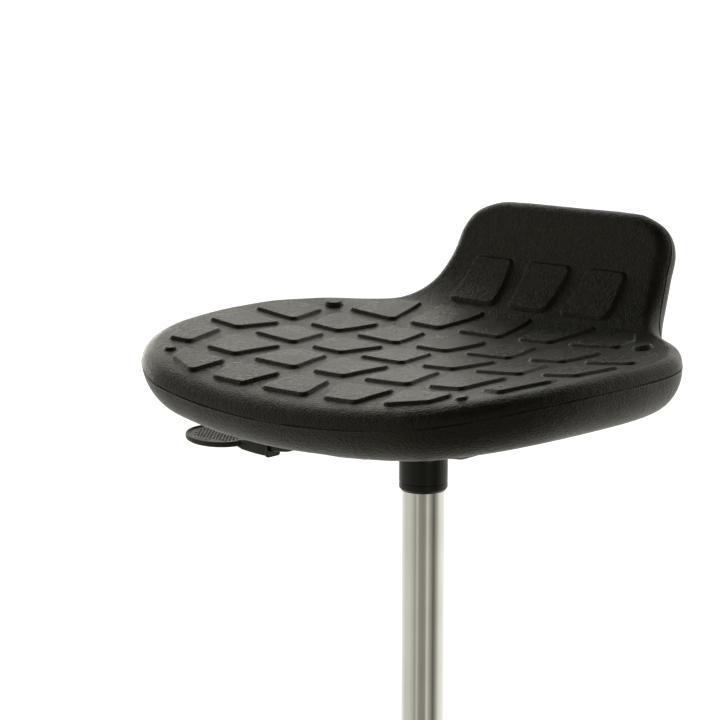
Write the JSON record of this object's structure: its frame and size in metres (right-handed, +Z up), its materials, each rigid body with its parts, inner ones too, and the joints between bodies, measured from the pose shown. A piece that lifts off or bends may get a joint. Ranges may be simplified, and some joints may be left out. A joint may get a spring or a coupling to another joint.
{
  "type": "perch stool",
  "caption": "Height-adjustable perch stool with a moulded foam saddle seat, low raked back rest, gas spring column with side lever, and a star base on glides.",
  "frame": {"origin": "On the floor, in the middle of the footprint's box. The column's axis stands 28.07 mm behind it, because one arm of the base points forward.", "axes": "+Z is up, the sitter faces -Y and +X is the sitter's left. The seat is modelled at its highest."},
  "size_m": [0.591, 0.5632, 0.8568],
  "materials": {
    "foam": "self-skinned polyurethane with a fine leather grain",
    "black_steel": "satin black powder coat",
    "chrome": "polished hard chrome",
    "zinc": "bright zinc plated steel",
    "aluminium": "polished cast aluminium",
    "plastic": "black moulded plastic, finely textured",
    "nylon": "natural moulded nylon",
    "rubber": "black rubber",
    "plywood": "birch plywood"
  },
  "bodies": {
    "base": {"base_star": "aluminium", "glide_stem_1": "zinc", "glide_foot_1": "plastic", "glide_stem_2": "zinc", "glide_foot_2": "plastic", "glide_stem_3": "zinc", "glide_foot_3": "plastic", "glide_stem_4": "zinc", "glide_foot_4": "plastic", "glide_stem_5": "zinc", "glide_foot_5": "plastic", "outer_tube": "chrome", "guide_bushing": "nylon", "column_cap": "plastic", "thrust_race_lower": "zinc", "bottom_washer": "zinc"},
    "spring_rod": {"piston_rod": "chrome", "piston": "zinc", "piston_seal": "rubber", "thrust_race_upper": "zinc", "rubber_bumper": "rubber", "retaining_clip": "zinc"},
    "bearing_cage": {"ball_cage": "nylon", "bearing_ball_1": "chrome", "bearing_ball_2": "chrome", "bearing_ball_3": "chrome", "bearing_ball_4": "chrome", "bearing_ball_5": "chrome", "bearing_ball_6": "chrome"},
    "seat": {"pressure_cylinder": "chrome", "inner_tube": "zinc", "valve_body": "zinc", "rod_gland": "nylon", "cone_hub": "black_steel", "lever_housing": "black_steel", "mounting_plate": "black_steel", "pivot_pin": "zinc", "seat_foam": "foam", "seat_board": "plywood", "back_stiffener": "zinc", "threaded_insert_1": "zinc", "plate_screw_1": "zinc", "plate_washer_1": "zinc", "threaded_insert_2": "zinc", "plate_screw_2": "zinc", "plate_washer_2": "zinc", "threaded_insert_3": "zinc", "plate_screw_3": "zinc", "plate_washer_3": "zinc", "threaded_insert_4": "zinc", "plate_screw_4": "zinc", "plate_washer_4": "zinc"},
    "lever": {"lever_arm": "black_steel", "lever_grip": "plastic"},
    "release_valve": {"release_pin": "zinc"}
  },
  "joints": [
    {"name": "seat_swivel", "type": "hinge", "parent": "base", "child": "spring_rod", "pos_m": [0, 0.02807, 0.0567], "axis": [0, 0, 1], "continuous": true},
    {"name": "bearing_roll", "type": "hinge", "parent": "base", "child": "bearing_cage", "pos_m": [0, 0.02807, 0.0536], "axis": [0, 0, 1], "continuous": true},
    {"name": "seat_height", "type": "slide", "parent": "spring_rod", "child": "seat", "axis": [0, 0, 1], "range_m": [-0.25, 0]},
    {"name": "lever_lift", "type": "hinge", "parent": "seat", "child": "lever", "pos_m": [-0.026, 0.02807, 0.7236], "axis": [0, 1, 0], "range_deg": [0, 6], "stiffness_Nm_per_rad": 6, "springref_deg": -11.46},
    {"name": "valve_press", "type": "slide", "parent": "seat", "child": "release_valve", "axis": [0, 0, -1], "range_m": [0, 0.0032]}
  ],
  "couplings": [
    {"joint": "bearing_roll", "follows": "seat_swivel", "ratio": 0.5},
    {"joint": "valve_press", "follows": "lever_lift", "m_per_rad": 0.029}
  ]
}
